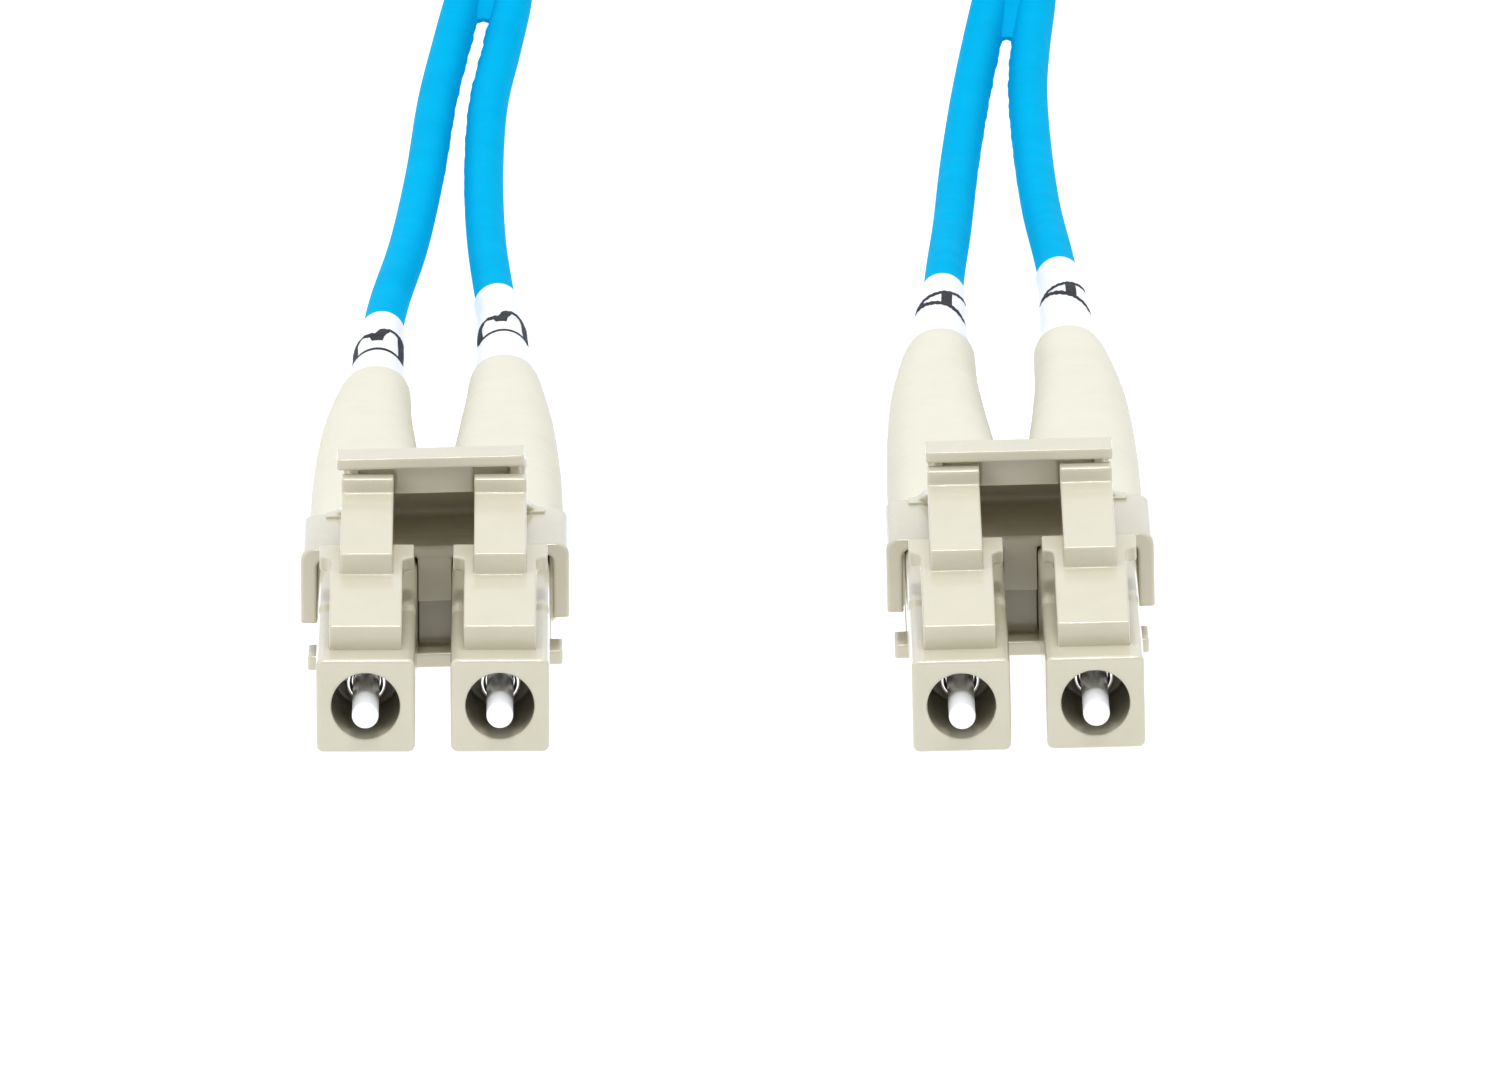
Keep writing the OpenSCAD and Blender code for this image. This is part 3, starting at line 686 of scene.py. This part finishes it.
def sleeve_radius(s, t):
    """Radius of the shrunk sleeve in millimetres, s behind its mouth and t round it."""
    slim = 1.45 - 0.31 * np.clip(s / 14, 0, 1)
    waves = (0.025 * np.sin(s * 0.9 + 1.1 * np.sin(t)) + 0.012 * np.sin(s * 2.3 + 2 * t)
             + 0.008 * np.sin(3 * t + s))
    return slim + waves * np.clip(s / 2, 0, 1)


# Sleeves, in millimetres from the boot's mouth: how far inside they start and how far
# they reach, then where their letter starts and its length
SLEEVE_INSIDE = 2.1
SLEEVE_LENGTHS = {"a1": 13.4, "a2": 17.2, "b1": 13.6, "b2": 16.8}
LETTER_FROM = {"a1": 4.2, "a2": 5.4, "b1": 4.2, "b2": 5.4}
LETTER_LONG = 4.4
# The letter goes round the sleeve from one angle to the other, at a mean radius
LETTER_START, LETTER_ROUND, LETTER_R = 155, 130, 1.3
STROKE_HALF, PRINT_THICK = 0.27, 0.012
# Strokes of each connector's letter: (along the sleeve, round it), from 0 to 1
LETTERS = {
    "a": [[(0, 0), (0, 1)], [(0, 0.04), (0.5, 0.02), (0.72, 0.1), (0.75, 0.28), (0.6, 0.44), (0.42, 0.48)],
          [(0.42, 0.48), (0.62, 0.5), (0.95, 0.6), (1, 0.78), (0.85, 0.93), (0, 0.97)]],
    "b": [[(0, 1), (0.5, 0), (1, 1)], [(0.2, 0.6), (0.8, 0.6)]],
}


def sleeve_frame(n):
    """The leg's line under a sleeve, from inside the boot, and the distances along it."""
    line = evenly(leg_line(n, boot_tip(n) - SLEEVE_INSIDE), 0.0002)
    return line, run_length(line) / MM - SLEEVE_INSIDE


def sleeve_piece(n):
    """White shrink sleeve on the leg. Its end is rounded and turns in to the jacket."""
    line, s = sleeve_frame(n)
    keep = s <= SLEEVE_LENGTHS[n]
    line, s = line[keep], s[keep]
    turn = round_turn(56)
    radius = sleeve_radius(s[:, None], turn)
    radius[-1] -= 0.09
    radius[-2] -= 0.03
    line = np.concatenate([line, line[-2:-4:-1]])
    closing = np.repeat([[LEG_R + 0.06], [LEG_R + 0.01]], len(turn), axis=1)
    radius = np.concatenate([radius, closing])
    shape = np.stack([radius * np.cos(turn), radius * np.sin(turn)], -1) * MM
    side, up = sides_of(line[:-2])
    side, up = np.concatenate([side, side[-2:]]), np.concatenate([up, up[-2:]])
    points = line[:, None, :3] + shape[..., :1] * side[:, None] + shape[..., 1:] * up[:, None]
    points = points.reshape(-1, 3)
    faces = [ends(points, len(turn))[0], *bridge(len(line), len(turn))]
    sleeve = new_piece(f"shrink_sleeve_{n}", points, faces, "sleeve_white")
    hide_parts(f"marking_sleeve_{n}")
    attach(sleeve, "cord_set")


def print_piece(n):
    """The printed letter: thin strokes that follow the sleeve's surface."""
    line, s = sleeve_frame(n)
    side, up = sides_of(line)
    points, faces = [], []
    for stroke in LETTERS[n[0]]:
        corners = [(LETTER_FROM[n] + LETTER_LONG * a,
                    math.radians(LETTER_START - LETTER_ROUND * b) * LETTER_R, 0) for a, b in stroke]
        path = evenly(np.array(corners), 0.12)
        away = np.gradient(path[:, :2], axis=0)
        away = np.stack([-away[:, 1], away[:, 0]], 1) / np.linalg.norm(away, axis=1)[:, None]
        first = len(points)
        for (at, round_, _), (da, dr) in zip(path, away):
            for half in (-STROKE_HALF, -STROKE_HALF / 3, STROKE_HALF / 3, STROKE_HALF):
                place = at + da * half
                angle = (round_ + dr * half) / LETTER_R
                i = int(np.searchsorted(s, place))
                r = (sleeve_radius(place, angle) + PRINT_THICK) * MM
                points.append(line[i, :3] + r * (math.cos(angle) * side[i] + math.sin(angle) * up[i]))
        faces += [(first + 4 * i + k, first + 4 * i + k + 1, first + 4 * i + k + 5, first + 4 * i + k + 4)
                  for i in range(len(path) - 1) for k in range(3)]
    mark = new_piece(f"sleeve_print_{n}", points, faces, "sleeve_white", material=print_black)
    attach(mark, "cord_set")


# ---- Ties -----------------------------------------------------------------------------


def tie_piece(way):
    """A flat tie round one side of the coil, with its ends overlapped on top."""
    name = "tie_near" if way < 0 else "tie_far"
    low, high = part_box(name)
    r = TIE_BEND
    half_t = TIE_THICK / 2
    y0, y1, z0, z1 = low.y + half_t, high.y - half_t, low.z + half_t, high.z - half_t
    loop = []
    corners = ((y0 + r, z0 + r, 180), (y1 - r, z0 + r, 270), (y1 - r, z1 - r, 0), (y0 + r, z1 - r, 90))
    for cy, cz, start in corners:
        loop += [(cy + r * math.cos(math.radians(t)), cz + r * math.sin(math.radians(t)))
                 for t in np.linspace(start, start + 90, 9)]
    loop = evenly(np.array([(0, y, z) for y, z in [*loop, loop[0]]]), 0.0005)[:-1]
    ahead = np.roll(loop, -1, 0) - np.roll(loop, 1, 0)
    normal = np.stack([ahead[:, 0] * 0, ahead[:, 2], -ahead[:, 1]], 1)
    normal /= np.linalg.norm(normal, axis=1)[:, None]
    middle = (low.x + high.x) / 2
    w = TIE_WIDTH / 2
    section = [(-1, -0.4), (-0.94, -1), (0.94, -1), (1, -0.4), (1, 0.4), (0.94, 0.9), (0.3, 0.55), (0.18, 1),
               (-0.18, 1), (-0.3, 0.55), (-0.94, 0.9), (-1, 0.4)]
    section = [(w * u, half_t * v) for u, v in section]
    points = [(middle + u, *(p + v * q)[1:]) for p, q in zip(loop, normal) for u, v in section]
    tie = new_piece(f"cord_{name}", points, bridge(len(loop), len(section), True), "tie_plastic")
    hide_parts(name)
    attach(tie, "cord_set")


# ---- Stage ------------------------------------------------------------------------------


# The studio light is a little cool. Its surroundings are brightest high in front, darker
# low in front, so that openings stay dark, and lifted again low behind.
LIGHT_TINT = (0.965, 0.99, 1.04)
HIGH_FRONT, LOW_FRONT, LOW_BACK = (0, -0.34, 0.94), (0, -0.906, 0.423), (0, 0.96, 0.28)
# Lamps: name, place and size in metres, power in watts
LAMPS = (("lamp_over", (0.0, -0.3, 0.86), 0.2, 2.4), ("lamp_left", (-0.8, -0.5, 0.6), 0.6, 1.0))


def make_stage():
    """White table, white surroundings and two soft lamps."""
    size = 3.0
    mesh = bpy.data.meshes.new("table_top")
    corners = [(-size, -size, 0), (size, -size, 0), (size, size, 0), (-size, size, 0)]
    mesh.from_pydata(corners, [], [(0, 1, 2, 3)])
    mesh.materials.append(procedural(
        "table_white", (0.25, 0.25, 0.25), (0.24, 0.24, 0.245), (0.6, 0.7),
        patch=0.02, grain=0.5, bump=0.02, Emission_Color=(*LIGHT_TINT, 1), Emission_Strength=0.9))
    table = bpy.data.objects.new("table_top", mesh)
    bpy.context.scene.collection.objects.link(table)

    world = bpy.data.worlds.new("studio")
    bpy.context.scene.world = world
    world.use_nodes = True
    nodes, links = world.node_tree.nodes, world.node_tree.links
    place = nodes.new("ShaderNodeTexCoord")

    def patch(toward, low, high, start, end):
        """Strength from start to end, as the cosine to a direction goes from low to high."""
        near = nodes.new("ShaderNodeVectorMath")
        near.operation = "DOT_PRODUCT"
        near.inputs[1].default_value = toward
        links.new(place.outputs["Generated"], near.inputs[0])
        glow = nodes.new("ShaderNodeMapRange")
        glow.interpolation_type = "SMOOTHSTEP"
        for socket, value in zip(("From Min", "From Max", "To Min", "To Max"), (low, high, start, end)):
            glow.inputs[socket].default_value = value
        links.new(near.outputs["Value"], glow.inputs["Value"])
        return glow.outputs["Result"]

    shaded = nodes.new("ShaderNodeMath")
    shaded.operation = "MULTIPLY"
    links.new(patch(HIGH_FRONT, 0.05, 0.8, 0.4, 1.12), shaded.inputs[0])
    links.new(patch(LOW_FRONT, 0.8, 0.98, 1, 0.08), shaded.inputs[1])
    total = nodes.new("ShaderNodeMath")
    total.operation = "ADD"
    links.new(shaded.outputs["Value"], total.inputs[0])
    links.new(patch(LOW_BACK, 0.8, 0.98, 0, 0.4), total.inputs[1])
    links.new(total.outputs["Value"], nodes["Background"].inputs["Strength"])
    nodes["Background"].inputs["Color"].default_value = (*LIGHT_TINT, 1)

    for name, place, size, power in LAMPS:
        data = bpy.data.lights.new(name, "AREA")
        data.size, data.energy = size, power
        lamp = bpy.data.objects.new(name, data)
        lamp.location = place
        lamp.rotation_euler = (-Vector(place)).to_track_quat("-Z", "Y").to_euler()
        bpy.context.scene.collection.objects.link(lamp)
    bpy.context.scene.view_settings.view_transform = "Standard"
    bpy.context.scene.view_settings.look = "Medium High Contrast"


for plug in PLUGS:
    make_leg(plug)
make_trunk()
for connector in CONNECTORS:
    fork_web(connector)
plug_pieces()
clip_pieces()
for plug in PLUGS:
    ferrule_pieces(plug)
    spring_piece(plug)
    boot_piece(plug)
    sleeve_piece(plug)
    print_piece(plug)
for way in (-1, 1):
    tie_piece(way)
for name, node in frame["nodes"].items():
    if not node.hide_render:
        slot = next(s["material_slot"] for s in frame["record"]["subparts"] if s["node"] == name)
        node.data.materials.clear()
        node.data.materials.append(SLOTS[slot])
make_stage()
